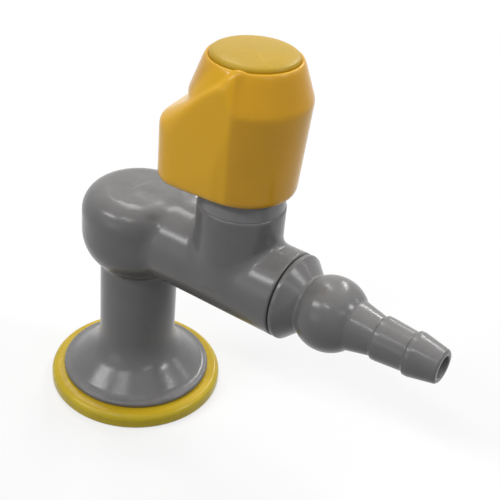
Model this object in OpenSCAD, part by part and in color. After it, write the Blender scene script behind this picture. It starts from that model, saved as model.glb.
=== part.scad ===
// Laboratory gas tap for one bench outlet: quarter-turn ball valve with a push-and-turn knob.
// Millimetres, +Z up. The origin is the centre of the underside on the column axis; the arm points along +X.

/* [View] */
// Which sub-part to draw
// Segments of the true round forms
round_fn = 96; // [48:12:144]

/* [Foot and column] */
// Outer radius of the colour ring
ring_r = 28.8; // [26:0.1:34]
// Thickness of the colour ring
ring_t = 5.2; // [3:0.1:8]
// Rounding of the ring's outer edge
ring_edge = 2.2; // [0.5:0.1:2.5]
// Radius of the casting's foot
foot_r = 24.6; // [20:0.1:28]
// Height of the foot's short upright lip
foot_lip = 1.6; // [0.8:0.1:3]
// Radius of the column
column_r = 12.5; // [10:0.1:16]
// Radius of the hollow sweep from the foot up to the column
flare_sweep = 12.6; // [6:0.2:18]
// Radius of the centring spigot under the foot
spigot_r = 14.5; // [12:0.1:17]
// Radial play between spigot and colour ring
spigot_gap = 0.2; // [0.1:0.05:0.4]
// Core radius of the inlet thread
inlet_r = 7.475; // [5:0.005:9]
// Depth of the inlet thread
inlet_deep = 14; // [10:0.5:18]
// Radius of the cast gas way
way_r = 4.5; // [3:0.1:5.5]
// Inner radius of the base gasket
gasket_in = 18; // [16:0.1:20]
// Outer radius of the base gasket
gasket_out = 24; // [21:0.1:27]
// Thickness of the base gasket
gasket_t = 1.8; // [1:0.1:3]

/* [Head and arm] */
// Height of the arm axis
arm_z = 61.6; // [50:0.1:80]
// Radius of the arm
arm_r = 13.15; // [11:0.05:16]
// Length of the arm beyond the seat retainer
arm_mouth = 6.9; // [5:0.1:12]
// Radius of the head
head_r = 18.4; // [15:0.1:22]
// Rounding of the head's top edge
head_top_edge = 8; // [2:0.1:10]
// Rounding under the head
head_low_edge = 14.8; // [8:0.1:16]
// Distance of the boss axis from the column axis
boss_x = 38; // [30:0.1:45]
// Radius of the boss
boss_r = 13.1; // [11:0.05:16]
// Height of the boss face above the arm axis
boss_up = 23.6; // [20:0.1:30]
// Edge rounding of the casting
cast_edge = 1.1; // [0.3:0.1:1.5]
// Radius of the valve chamber
chamber_r = 10.2; // [8:0.1:11]
// Radius of the cavity in the boss
cavity_r = 10.2; // [8:0.1:11]
// Floor of the boss cavity above the arm axis
cavity_up = 13.4; // [12:0.1:15]

/* [Ball and seats] */
// Radius of the ball
ball_r = 8.2; // [6:0.1:9]
// Radius of the way through the ball
ball_way_r = 4.5; // [3:0.1:5.5]
// Gap between ball and seat rings
seat_gap = 0.1; // [0.05:0.05:0.3]
// Length of a seat ring along the arm
seat_len = 5.6; // [3:0.1:7]
// Distance of a seat ring's face from the ball's centre
seat_face = 4.6; // [3.5:0.1:6]
// Inner radius of a seat ring
seat_way_r = 4.9; // [3.5:0.1:6]
// Radial play of the pieces in the chamber
chamber_gap = 0.1; // [0.05:0.05:0.2]
// Length of the seat retainer
retainer_len = 3.2; // [2:0.1:5]
// Width of the retainer's spanner slot
retainer_slot = 2.4; // [1:0.1:4]
// Depth of the retainer's spanner slot
retainer_slot_deep = 1.2; // [0.5:0.1:2]

/* [Nozzle] */
// Length of the straight shoulder
shoulder_len = 1.8; // [1:0.1:6]
// Radius of the neck behind the ball form
neck_r = 8.1; // [6:0.1:11]
// Distance of the neck from the joint face
neck_x = 6.7; // [5:0.1:12]
// Centre of the ball form from the joint face
bulb_x = 13.6; // [11:0.1:20]
// Radius of the ball form
bulb_r = 11.25; // [9:0.1:13]
// Radius of the tail where it leaves the ball form
tail_r = 7.35; // [5:0.1:8]
// Radius of the tail at the root of a barb
root_r = 5.95; // [4:0.05:6]
// Start of the first barb from the joint face
barb_x = 30.1; // [26:0.1:36]
// Distance from barb to barb
barb_pitch = 10.1; // [7:0.1:14]
// Radius of a barb's land
barb_r = 6.6; // [5.5:0.01:7.5]
// Length of a barb's land
land_len = 1.3; // [0.6:0.1:2.5]
// End of the nozzle from the joint face
tip_x = 49.6; // [42:0.1:60]
// Outer radius of the nozzle's end
tip_r = 5.05; // [3.5:0.05:6]
// Radius of the nozzle's way
nozzle_way_r = 3.2; // [2:0.1:4]
// Space between the nozzle's threaded spigot and the seat retainer
tenon_play = 0.7; // [0.3:0.1:2]
// Dark joint recess between arm and nozzle
joint_gap = 0.4; // [0.2:0.1:1]

/* [Stem and bonnet] */
// Radius of the stem
stem_r = 4.05; // [3:0.05:5]
// Radial running play of the stem
stem_gap = 0.06; // [0.02:0.01:0.1]
// Radius of the stem's shoulder
stem_shoulder_r = 7.6; // [6:0.1:9]
// Thickness of the stem's shoulder
stem_shoulder_t = 2; // [1:0.1:3]
// Width of the tang in the ball's slot
tang_w = 3; // [2:0.1:4]
// Play of the tang in the ball's slot
tang_gap = 0.15; // [0.05:0.05:0.3]
// Depth of the slot in the ball
slot_deep = 2.6; // [1.5:0.1:3.5]
// Thickness of the thrust and gland washers
washer_t = 0.9; // [0.5:0.1:1.5]
// Outer radius of the thrust and gland washers
washer_r = 8.4; // [7:0.1:9.5]
// Face play between stacked turning pieces
stack_gap = 0.05; // [0.02:0.01:0.2]
// Height of the bonnet's collar above the boss
collar_h = 7.4; // [6:0.1:10]
// Step in radius from the boss to the bonnet's collar
collar_step = 0.35; // [0:0.05:1]
// Radius of the bonnet's neck
bonnet_neck_r = 8; // [6:0.1:9]
// Height of the bonnet's neck above the collar
bonnet_neck_h = 4; // [2:0.1:6]
// Length of the square end of the stem
square_len = 15.5; // [12:0.5:18]
// Width over the flats of the square end
square_w = 6.2; // [5:0.1:7]
// Height of the stem's top above the knob's rim
stem_up = 31.6; // [28:0.1:34]
// Section radius of the O-rings at nozzle and bonnet
oring_r = 0.9; // [0.6:0.05:1.2]
// Section radius of the O-rings on the stem
stem_oring_r = 0.65; // [0.4:0.05:0.8]
// Gap around an O-ring in its groove
oring_gap = 0.04; // [0.02:0.01:0.1]
// Height of the upper stem O-ring over the boss face
upper_oring_up = 3; // [1:0.1:5]

/* [Knob] */
// Gap between the boss face and the knob's rim
rim_up = 5.2; // [4:0.1:7]
// Wall of the knob at its rim
rim_wall = 2.1; // [1.6:0.1:4]
// Height of the widest line above the rim
crease_up = 28.5; // [22:0.1:32]
// Radius at the widest line
crease_r = 17.3; // [15:0.1:20]
// Height of the upper cone
cone_up = 11; // [9:0.1:14]
// Radius where the upper cone ends
shoulder_r = 13.45; // [13:0.05:16]
// Rounding of the rim and of the knob's edges
knob_edge = 1.9; // [0.8:0.1:2.5]
// Edge rounding of the crease and of the top
crease_edge = 1.1; // [0.4:0.1:2]
// Direction of the beak, seen from above, from the arm
beak_angle = 208; // [180:1:240]
// Distance of the beak's round end from the knob axis
beak_x = 15.9; // [13:0.1:20]
// Radius of the beak's round end
beak_r = 9.1; // [6:0.1:11]
// Height of the beak's top edge above the rim
beak_up = 20.8; // [14:0.1:24]
// Rounding of the beak's top edge
beak_edge = 3.6; // [1:0.1:4]
// Angle from the beak to each of its two roots
root_angle = 64; // [55:1:85]
// Radius of the beak's roots
beak_root_r = 1.5; // [1:0.1:2.5]
// How far the roots stand out from the round body
root_out = 0.35; // [0.1:0.05:1]
// Depth of the ridge's high end under the top of the cone
root_down = 5.8; // [1.6:0.1:6]
// Wall between the upper cone's end and the index cap
cap_wall = 0.95; // [0.6:0.05:2]
// Thickness of the index cap at its edge
cap_edge_t = 1.6; // [0.6:0.1:3]
// Rise of the cap's dome
cap_dome = 1.4; // [0.5:0.1:3]
// Play around the index cap
cap_gap = 0.15; // [0.1:0.05:0.4]
// Radial play between skirt and collar
skirt_gap = 0.45; // [0.3:0.05:1.5]
// Height of the skirt's hollow
skirt_h = 7.4; // [6:0.1:10]
// Radial play between the spring room and the bonnet's neck
room_gap = 0.5; // [0.3:0.1:1.5]

/* [Push and turn] */
// Travel of the knob when pushed
press_travel = 3; // [1:0.1:4]
// Angle from the rest pose to the open stop
open_turn = -28; // [-90:1:0]
// Angle from the rest pose to the closed stop
shut_turn = 62; // [0:1:90]
// Radius of the stop pin
pin_r = 1; // [0.8:0.1:1.4]
// Wall of the collar outside the stop slot
slot_wall = 0.85; // [0.6:0.05:1.2]
// Play of the stop pin in its slot
pin_gap = 0.2; // [0.1:0.05:0.4]
// Length of the stop pin inside the knob
pin_hold = 7; // [4:0.5:10]
// How far the stop pin stands below the collar's top
pin_dip = 1.4; // [0.8:0.1:3]
// Radius of the bonnet's two spanner holes
spanner_r = 1.1; // [0.8:0.1:1.4]
// Depth of the bonnet's two spanner holes
spanner_deep = 3; // [2:0.5:5]
// Direction of the first spanner hole
spanner_angle = 150; // [110:1:170]
// Mean radius of the return spring
spring_r = 6.4; // [5.5:0.1:7.5]
// Wire radius of the return spring
wire_r = 0.55; // [0.3:0.05:0.8]
// Turns of the return spring
spring_turns = 5; // [3:0.5:8]
// Radial play between the spring seat and the spring room
seat_room = 0.7; // [0.3:0.1:1]
// Thickness of the spring seat
spring_seat_t = 0.8; // [0.5:0.1:1.5]
// Thickness of the stem clip
clip_t = 0.8; // [0.5:0.1:1.2]
// Gap between the bonnet's neck and the stem clip
clip_up = 0.4; // [0.2:0.1:1]

/* [Knob fixing] */
// Length of the knob insert
insert_len = 12; // [9:0.5:14]
// Radius of the knob insert
insert_r = 7; // [6:0.1:8.5]
// Width over the insert's two anti-turn flats
insert_flat = 12.4; // [10:0.1:14]
// Radius of the stop washer
stop_washer_r = 5.4; // [4.5:0.1:6]
// Thickness of the stop washer
stop_washer_t = 0.8; // [0.5:0.1:1.5]
// Nominal radius of the knob screw
screw_r = 2; // [1.5:0.1:2.5]
// Length of the knob screw under its head
screw_len = 9; // [6:0.5:12]
// Radius of the screw head
screw_head_r = 3.5; // [3:0.1:4.5]
// Height of the screw head
screw_head_h = 2.4; // [1.5:0.1:3.5]
// Edge rounding of the screw head
screw_edge = 0.4; // [0.1:0.1:0.8]
// Width over flats of the screw's socket
socket_w = 2.5; // [2:0.1:3.5]
// Play around the stop washer in the room over the insert
washer_room = 0.6; // [0.3:0.1:1.2]
// Play of the insert, the screw and the washer on their seats
fit_gap = 0.05; // [0.02:0.01:0.1]
// Play of the insert on the square
square_gap = 0.08; // [0.04:0.01:0.15]
// Face play between the insert and the stop washer
stop_gap = 0.1; // [0.05:0.01:0.2]
// Length of the cap's locating rib
rib_len = 2.2; // [1:0.1:3]
// Thickness of the cap's locating rib
rib_t = 1.4; // [0.8:0.1:1.6]
// Depth of the hollow in the beak
beak_core_deep = 13; // [8:0.5:16]
// How far the hollow sits towards the beak's end
beak_core_out = 1.3; // [0.5:0.1:3]
// Wall around the hollow in the beak
beak_wall = 2; // [1.5:0.1:3]

/* [Hidden] */

$fn = round_fn;
eps = 0.01;
hull_fn = 32;
wire_fn = 8;
turn_fn = 24;
hex_fn = 6;
hex_side = 180 / hex_fn;

grey = [0.55, 0.55, 0.56];
yellow = [0.93, 0.68, 0.05];
brass = [0.74, 0.6, 0.32];
steel = [0.74, 0.75, 0.77];
white = [0.93, 0.93, 0.9];
black = [0.1, 0.1, 0.1];

half = 0.5;
boss_z = arm_z + boss_up;
cavity_z = arm_z + cavity_up;
rim_z = boss_z + rim_up;
crease_z = rim_z + crease_up;
shoulder_z = crease_z + cone_up;
stem_top = rim_z + stem_up;
insert_z = stem_top - insert_len;
collar_r = boss_r - collar_step;
skirt_r = collar_r + skirt_gap;
rim_r = skirt_r + rim_wall;
cap_r = shoulder_r - cap_wall;
pin_reach = pin_r + pin_gap;
pin_x = collar_r - slot_wall - pin_reach;
pin_angle = -open_turn;
spring_room_r = bonnet_neck_r + room_gap;
spring_seat_r = spring_room_r - seat_room;
screw_room_r = stop_washer_r + washer_room;
foot_top = ring_t + foot_lip;
flare_z = foot_top + flare_sweep;
arm_top = arm_z + arm_r;
arm_low = arm_z - arm_r;
head_low_in = column_r - head_r + head_low_edge;
head_arc_z = arm_low + sqrt(pow(head_low_edge, 2) - pow(head_low_in, 2));
chamber_x = boss_x - seat_face - seat_len;
outer_seat_x = boss_x + seat_face;
retainer_x = outer_seat_x + seat_len;
arm_end = retainer_x + retainer_len + arm_mouth;
tenon_len = arm_mouth - tenon_play;
fill_r = chamber_r - chamber_gap;
seat_sphere_r = ball_r + seat_gap;
stem_hole_r = stem_r + stem_gap;
chamber_top = arm_z + chamber_r;
shoulder_low = cavity_z + washer_t + stack_gap;
shoulder_high = shoulder_low + stem_shoulder_t;
gland_z = shoulder_high + stack_gap;
bonnet_z = gland_z + washer_t;
collar_z = boss_z + collar_h;
neck_z = collar_z + bonnet_neck_h;
slot_floor = arm_z + ball_r - slot_deep;
tang_top = arm_z + ball_r + tang_gap;
clip_z = neck_z + clip_up;
spring_z = clip_z + clip_t + spring_seat_t;
clip_in = stem_r - clip_t;
lower_oring_z = (chamber_top + cavity_z) * half;
upper_oring_z = boss_z + upper_oring_up;
oring_side = oring_r + oring_gap;
stem_oring_side = stem_oring_r + oring_gap;
stem_oring_x = stem_r - stem_oring_r;
skirt_z = rim_z + skirt_h;
insert_top = stem_top - stop_gap;
cap_floor = shoulder_z - cap_edge_t + crease_edge * half;
cap_seat_r = cap_r + cap_gap;
cap_top = cap_floor + cap_edge_t + cap_dome;
cap_ball_r = (pow(cap_r, 2) + pow(cap_dome, 2)) / (2 * cap_dome);
pin_low = collar_z - pin_dip;
slot_low = pin_low - press_travel - pin_gap * 2;
spring_top = insert_z - wire_r - oring_gap;
spring_low = spring_z + wire_r + oring_gap;

// Puts a form that stands on local Z at a place along the arm
module along_arm(x) {
    translate([x, 0, arm_z]) rotate([0, 90, 0]) children();
}

// Puts a form on the knob axis at a height
module on_boss(z) {
    translate([boss_x, 0, z]) children();
}

module rod(r, h) {
    cylinder(r = r, h = h);
}

module tube(r_out, r_in, h) {
    difference() {
        rod(r_out, h);
        translate([0, 0, -eps]) rod(r_in, h + 2 * eps);
    }
}

module torus(ring, section) {
    rotate_extrude() translate([ring, 0]) circle(section);
}

// Round bar with its top edge rounded
module soft_rod(r, h, edge) {
    rotate_extrude() {
        square([r - edge, h]);
        square([r, h - edge]);
        translate([r - edge, h - edge]) circle(edge);
    }
}

// casting
module foot_profile() {
    difference() {
        union() {
            translate([0, ring_t]) square([foot_r, foot_lip - cast_edge]);
            translate([foot_r - cast_edge, foot_top - cast_edge]) circle(cast_edge);
            translate([0, ring_t]) square([foot_r - cast_edge, flare_z - ring_t]);
        }
        translate([column_r + flare_sweep, flare_z]) circle(flare_sweep);
        translate([0, ring_t - cast_edge * 2]) square([foot_r, cast_edge * 2]);
    }
    translate([0, ring_t]) square([column_r, arm_z - ring_t]);
    square([spigot_r, ring_t + eps]);
}

module head_profile() {
    intersection() {
        union() {
            translate([0, head_arc_z]) square([head_r - head_top_edge, arm_top - head_arc_z]);
            translate([0, head_arc_z]) square([head_r, arm_top - head_top_edge - head_arc_z]);
            translate([head_r - head_top_edge, arm_top - head_top_edge]) circle(head_top_edge);
            translate([head_r - head_low_edge, head_arc_z]) circle(head_low_edge);
        }
        translate([0, arm_low - head_low_edge]) square([head_r, arm_top]);
    }
}

module casting() {
    rotate_extrude() foot_profile();
    rotate_extrude() head_profile();
    along_arm(0) soft_rod(arm_r, arm_end, cast_edge * half);
    on_boss(arm_z) soft_rod(boss_r, boss_z - arm_z, cast_edge);
}

module body() {
    color(grey) difference() {
        casting();
        translate([0, 0, -eps]) rod(inlet_r, inlet_deep + eps);
        translate([0, 0, inlet_deep - eps]) cylinder(r1 = inlet_r, r2 = way_r, h = inlet_r - way_r);
        rod(way_r, arm_z);
        translate([0, 0, arm_z]) sphere(way_r);
        along_arm(0) rod(way_r, chamber_x + eps);
        along_arm(chamber_x) rod(chamber_r, arm_end);
        on_boss(arm_z) rod(stem_hole_r, cavity_z - arm_z + eps);
        on_boss(cavity_z) rod(cavity_r, boss_z);
    }
}

// foot
module colour_ring() {
    low_edge = ring_edge * half;
    color(yellow) rotate_extrude() difference() {
        union() {
            square([ring_r - ring_edge, ring_t]);
            translate([0, low_edge]) square([ring_r, ring_t - ring_edge - low_edge]);
            translate([ring_r - ring_edge, ring_t - ring_edge]) circle(ring_edge);
            translate([ring_r - low_edge, low_edge]) circle(low_edge);
            square([ring_r - low_edge, ring_t * half]);
        }
        translate([0, -ring_t]) square([spigot_r + spigot_gap, ring_t * 3]);
        translate([gasket_in, -ring_t]) square([gasket_out - gasket_in, ring_t + gasket_t]);
    }
}

module base_gasket() {
    color(black) tube(gasket_out - fit_gap, gasket_in + fit_gap, gasket_t - fit_gap);
}

// nozzle
module nozzle_profile() {
    barb_2 = barb_x + barb_pitch;
    difference() {
        union() {
            translate([0, -tenon_len]) square([fill_r, tenon_len + joint_gap + eps]);
            polygon([
                [0, joint_gap],
                [arm_r - joint_gap, joint_gap],
                [arm_r, joint_gap * 2],
                [arm_r, shoulder_len],
                [neck_r, neck_x],
                [0, bulb_x]
            ]);
            intersection() {
                translate([0, bulb_x]) circle(bulb_r);
                square([bulb_r, tip_x]);
            }
            polygon([
                [0, bulb_x],
                [tail_r, bulb_x + sqrt(pow(bulb_r, 2) - pow(tail_r, 2)) - eps],
                [root_r, barb_x - (barb_r - root_r)],
                [barb_r, barb_x],
                [barb_r, barb_x + land_len],
                [root_r, barb_2 - (barb_r - root_r)],
                [barb_r, barb_2],
                [barb_r, barb_2 + land_len],
                [tip_r, tip_x - joint_gap],
                [tip_r - joint_gap, tip_x],
                [0, tip_x]
            ]);
        }
        translate([0, -tip_x]) square([nozzle_way_r, 3 * tip_x]);
        translate([0, -tenon_len - eps]) square([way_r, tenon_len]);
        translate([fill_r - 2 * oring_side + chamber_gap, -tenon_len * half - oring_side])
            square([2 * oring_side, 2 * oring_side]);
    }
}

module nozzle() {
    color(grey) along_arm(arm_end) rotate_extrude() nozzle_profile();
}

module nozzle_seal() {
    color(black) along_arm(arm_end - tenon_len * half) torus(chamber_r - oring_side, oring_r);
}

// ball and seats
module seat() {
    difference() {
        tube(fill_r, seat_way_r, seat_len);
        translate([0, 0, seat_len + seat_face]) sphere(seat_sphere_r);
    }
}

module seat_inner() {
    color(white) along_arm(chamber_x) seat();
}

module seat_outer() {
    color(white) along_arm(retainer_x) mirror([0, 0, 1]) seat();
}

module seat_retainer() {
    color(brass) along_arm(retainer_x) difference() {
        tube(fill_r, seat_way_r, retainer_len);
        translate([-fill_r, -retainer_slot * half, retainer_len - retainer_slot_deep])
            cube([2 * fill_r, retainer_slot, retainer_slot_deep + eps]);
    }
}

module ball() {
    color(steel) on_boss(arm_z) rotate([0, 0, beak_angle]) difference() {
        sphere(ball_r);
        rotate([0, 90, 0]) translate([0, 0, -ball_r]) rod(ball_way_r, 2 * ball_r);
        translate([-tang_w * half - tang_gap, -ball_r, ball_r - slot_deep])
            cube([tang_w + 2 * tang_gap, 2 * ball_r, slot_deep + eps]);
    }
}

// stem
module oring_groove(z) {
    translate([0, 0, z - stem_oring_side]) tube(
        stem_r + eps, stem_r - 2 * stem_oring_side + oring_gap, 2 * stem_oring_side);
}

module stem_rod() {
    rotate([0, 0, beak_angle]) intersection() {
        translate([0, 0, slot_floor + tang_gap]) rod(stem_r, tang_top - slot_floor);
        translate([-tang_w * half, -stem_r, slot_floor]) cube([tang_w, 2 * stem_r, ball_r]);
    }
    translate([0, 0, tang_top]) rod(stem_r, stem_top - square_len - tang_top);
    translate([0, 0, shoulder_low]) rod(stem_shoulder_r, stem_shoulder_t);
    square_rod(square_w, stem_r, stem_top - square_len - eps, square_len + eps);
}

module square_rod(w, r, z, h) {
    rotate([0, 0, beak_angle]) intersection() {
        translate([0, 0, z]) rod(r, h);
        translate([-w * half, -w * half, z]) cube([w, w, h]);
    }
}

module stem() {
    color(brass) on_boss(0) difference() {
        stem_rod();
        oring_groove(lower_oring_z);
        oring_groove(upper_oring_z);
        translate([0, 0, clip_z]) tube(stem_r + eps, clip_in, clip_t);
        translate([0, 0, stem_top - screw_len]) rod(screw_r, screw_len + eps);
    }
}

module stem_seals() {
    color(black) {
        on_boss(lower_oring_z) torus(stem_oring_x, stem_oring_r);
        on_boss(upper_oring_z) torus(stem_oring_x, stem_oring_r);
    }
}

module thrust_washer() {
    color(white) on_boss(cavity_z) tube(washer_r, stem_r + 2 * chamber_gap, washer_t);
}

module gland_washer() {
    color(white) on_boss(gland_z) tube(washer_r, stem_r + 2 * chamber_gap, washer_t);
}

module stem_clip() {
    color(steel) on_boss(clip_z) difference() {
        tube(stem_r + clip_t * 2, clip_in + fit_gap, clip_t - fit_gap);
        translate([0, -clip_t, -eps]) cube([stem_r * 2, clip_t * 2, clip_t + 2 * eps]);
    }
}

module spring_seat() {
    color(steel) on_boss(spring_z - spring_seat_t) tube(spring_seat_r, stem_r + chamber_gap, spring_seat_t);
}

// bonnet
module stop_slot() {
    first = pin_angle + open_turn;
    last = pin_angle + shut_turn;
    h = collar_z - slot_low + eps;
    rotate([0, 0, first]) translate([0, 0, slot_low]) rotate_extrude(angle = last - first)
        translate([pin_x - pin_reach, 0]) square([2 * pin_reach, h]);
    for (a = [first, last]) rotate([0, 0, a]) translate([pin_x, 0, slot_low]) rod(pin_reach, h);
}

module bonnet() {
    color(grey) on_boss(0) difference() {
        union() {
            translate([0, 0, bonnet_z]) rod(cavity_r - chamber_gap, boss_z - bonnet_z + eps);
            translate([0, 0, boss_z]) soft_rod(collar_r, collar_h, cast_edge * half);
            translate([0, 0, collar_z - eps]) rod(bonnet_neck_r, bonnet_neck_h + eps);
        }
        translate([0, 0, bonnet_z - eps]) rod(stem_hole_r, neck_z - bonnet_z + 2 * eps);
        translate([0, 0, (bonnet_z + boss_z) * half - oring_side])
            tube(cavity_r, cavity_r - 2 * oring_side, 2 * oring_side);
        stop_slot();
        for (a = [spanner_angle, spanner_angle + 180])
            rotate([0, 0, a]) translate([pin_x, 0, collar_z - spanner_deep]) rod(spanner_r, spanner_deep + eps);
    }
}

module bonnet_seal() {
    color(black) on_boss((bonnet_z + boss_z) * half) torus(cavity_r - oring_side, oring_r);
}

// spring
module return_spring() {
    steps = spring_turns * turn_fn;
    rise = spring_top - spring_low;
    points = [
        for (i = [0 : steps])
            for (j = [0 : wire_fn - 1])
                let (
                    a = 360 * spring_turns * i / steps,
                    b = 360 * j / wire_fn,
                    r = spring_r + wire_r * cos(b)
                )
                [r * cos(a), r * sin(a), spring_low + rise * i / steps + wire_r * sin(b)]
    ];
    sides = [
        for (i = [0 : steps - 1])
            for (j = [0 : wire_fn - 1])
                let (
                    k = i * wire_fn,
                    n = (j + 1) % wire_fn
                )
                each [
                    [k + j, k + wire_fn + j, k + wire_fn + n],
                    [k + j, k + wire_fn + n, k + n]
                ]
    ];
    first = [for (j = [wire_fn - 1 : -1 : 0]) j];
    last = [for (j = [0 : wire_fn - 1]) steps * wire_fn + j];
    color(steel) on_boss(0) polyhedron(points = points, faces = concat([first], sides, [last]), convexity = 10);
}

// knob
// Rounds the outer corner p between the lines to a and b: circle centre for the radius r
function corner_dir(p, a) = (a - p) / norm(a - p);
function corner_half(p, a, b) = acos(corner_dir(p, a) * corner_dir(p, b)) * half;
function corner_mid(p, a, b, r) =
    p + r / sin(corner_half(p, a, b)) * corner_dir([0, 0], corner_dir(p, a) + corner_dir(p, b));
function corner_cut(p, a, b, r) = r / tan(corner_half(p, a, b));

module soft_corner(p, a, b, r) {
    translate(corner_mid(p, a, b, r)) circle(r);
}

module knob_profile() {
    low = [0, rim_z];
    rim = [rim_r, rim_z];
    crease = [crease_r, crease_z];
    top = [shoulder_r, shoulder_z];
    high = [0, shoulder_z];
    rim_cut = corner_cut(rim, low, crease, knob_edge);
    crease_cut = corner_cut(crease, rim, top, crease_edge);
    top_cut = corner_cut(top, crease, high, crease_edge);
    polygon([
        low,
        rim + rim_cut * corner_dir(rim, low),
        rim + rim_cut * corner_dir(rim, crease),
        crease + crease_cut * corner_dir(crease, rim),
        crease + crease_cut * corner_dir(crease, top),
        top + top_cut * corner_dir(top, crease),
        top + top_cut * corner_dir(top, high),
        high
    ]);
    soft_corner(rim, low, crease, knob_edge);
    soft_corner(crease, rim, top, crease_edge);
    soft_corner(top, crease, high, crease_edge);
}

// Radius of the knob's round body at a height over the rim
function knob_at(up) = up < crease_up
    ? rim_r + (crease_r - rim_r) * up / crease_up
    : crease_r - (crease_r - shoulder_r) * (up - crease_up) / cone_up;

module beak_root(up, sides) {
    reach = knob_at(min(up, crease_up)) + root_out - beak_root_r;
    for (side = sides)
        rotate([0, 0, side * root_angle]) translate([reach, 0, rim_z + up]) sphere(beak_root_r, $fn = hull_fn);
}

module beak_disc(up, edge) {
    translate([beak_x, 0, rim_z + up]) rotate_extrude($fn = hull_fn * 2)
        translate([beak_r - edge, 0]) circle(edge, $fn = hull_fn * half);
}

module beak() {
    rotate([0, 0, beak_angle]) hull() {
        beak_disc(knob_edge, knob_edge);
        beak_disc(beak_up - beak_edge, beak_edge);
        beak_root(knob_edge, [-1, 1]);
        beak_root(crease_up, [-1, 1]);
        beak_root(crease_up + cone_up - root_down, [1]);
    }
}

module handle() {
    color(yellow) on_boss(0) difference() {
        union() {
            rotate_extrude() knob_profile();
            beak();
        }
        translate([0, 0, rim_z - eps]) rod(skirt_r, skirt_h + eps);
        translate([0, 0, skirt_z - eps]) rod(spring_room_r, insert_z - skirt_z + eps);
        insert_form(insert_r + fit_gap, insert_flat + 2 * fit_gap, insert_z - eps, insert_top - insert_z + eps);
        translate([0, 0, insert_top - eps]) rod(screw_room_r, cap_top - insert_top);
        translate([0, 0, cap_floor]) rod(cap_seat_r, cap_top);
        rotate([0, 0, pin_angle]) translate([pin_x, 0, skirt_z - eps]) rod(pin_r, pin_hold + eps);
        rotate([0, 0, beak_angle]) translate([beak_x + beak_core_out, 0, rim_z - eps])
            rod(beak_r - beak_wall - beak_core_out, beak_core_deep + eps);
    }
}

module insert_form(r, flat, z, h) {
    rotate([0, 0, beak_angle]) intersection() {
        translate([0, 0, z]) rod(r, h);
        translate([-flat * half, -r, z]) cube([flat, 2 * r, h]);
    }
}

module handle_insert() {
    color(brass) on_boss(0) difference() {
        insert_form(insert_r, insert_flat, insert_z, insert_top - insert_z);
        square_rod(square_w + 2 * square_gap, stem_r + square_gap, insert_z - eps, stem_top - insert_z + eps);
    }
}

module stop_pin() {
    color(steel) on_boss(0) rotate([0, 0, pin_angle]) translate([pin_x, 0, pin_low])
        rod(pin_r - oring_gap, skirt_z + pin_hold - pin_low);
}

module stop_washer() {
    color(steel) on_boss(stem_top) tube(stop_washer_r, screw_r + 2 * fit_gap, stop_washer_t);
}

module handle_screw() {
    head_z = stem_top + stop_washer_t;
    color(steel) on_boss(0) difference() {
        union() {
            translate([0, 0, head_z - screw_len]) rod(screw_r - fit_gap, screw_len + eps);
            translate([0, 0, head_z]) soft_rod(screw_head_r, screw_head_h, screw_edge);
        }
        translate([0, 0, head_z + screw_head_h * half])
            cylinder(d = socket_w / cos(hex_side), h = screw_head_h, $fn = hex_fn);
    }
}

module index_cap() {
    color(yellow) on_boss(0) rotate_extrude() {
        intersection() {
            translate([0, cap_top - cap_ball_r]) circle(cap_ball_r);
            translate([0, cap_floor]) square([cap_r, cap_edge_t + cap_dome]);
        }
        translate([screw_room_r - cap_gap - rib_t, cap_floor - rib_len]) square([rib_t, rib_len + eps]);
    }
}

body();
colour_ring();
base_gasket();
nozzle();
nozzle_seal();
seat_retainer();
seat_inner();
seat_outer();
ball();
stem();
stem_seals();
thrust_washer();
gland_washer();
bonnet();
bonnet_seal();
stem_clip();
spring_seat();
return_spring();
handle();
handle_insert();
stop_pin();
stop_washer();
handle_screw();
index_cap();
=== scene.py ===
"""Laboratory gas tap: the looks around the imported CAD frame, laid out as an add-on with one operator per piece."""

import itertools
import math

import bmesh
import bpy
import numpy as np
from mathutils import Matrix, Vector
from mathutils.bvhtree import BVHTree


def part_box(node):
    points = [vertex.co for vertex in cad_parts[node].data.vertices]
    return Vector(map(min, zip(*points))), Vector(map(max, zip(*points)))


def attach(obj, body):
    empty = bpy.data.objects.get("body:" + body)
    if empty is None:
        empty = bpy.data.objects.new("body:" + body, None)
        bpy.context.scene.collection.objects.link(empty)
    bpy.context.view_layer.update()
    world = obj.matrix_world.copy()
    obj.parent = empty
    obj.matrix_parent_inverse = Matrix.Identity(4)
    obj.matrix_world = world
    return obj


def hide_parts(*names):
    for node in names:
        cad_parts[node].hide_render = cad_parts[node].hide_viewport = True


bl_info = {
    "name": "Laboratory gas tap",
    "version": (1, 0, 0),
    "blender": (4, 5, 0),
    "location": "View3D > Sidebar > Gas tap",
    "description": "Builds the coated casting, hose nozzle, knob and stage of a bench gas tap",
    "category": "Object",
}

MM = 0.001

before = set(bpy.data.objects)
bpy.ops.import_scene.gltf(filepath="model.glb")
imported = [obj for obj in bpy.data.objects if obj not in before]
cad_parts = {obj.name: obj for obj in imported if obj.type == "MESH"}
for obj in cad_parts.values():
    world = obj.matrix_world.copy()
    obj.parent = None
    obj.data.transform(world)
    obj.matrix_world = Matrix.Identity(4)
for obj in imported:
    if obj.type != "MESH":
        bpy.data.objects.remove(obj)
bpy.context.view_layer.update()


# Sizes of the pieces in millimetres, from the middle of the foot's underside.
# A rod is (radius, low end, high end, rounding of its edges) along its own axis.
# A corner of a turned outline is (radius, place along the axis, rounding).

KNOB_X = 38
ARM_Z = 61.6
ARM_END = 58.3

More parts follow.
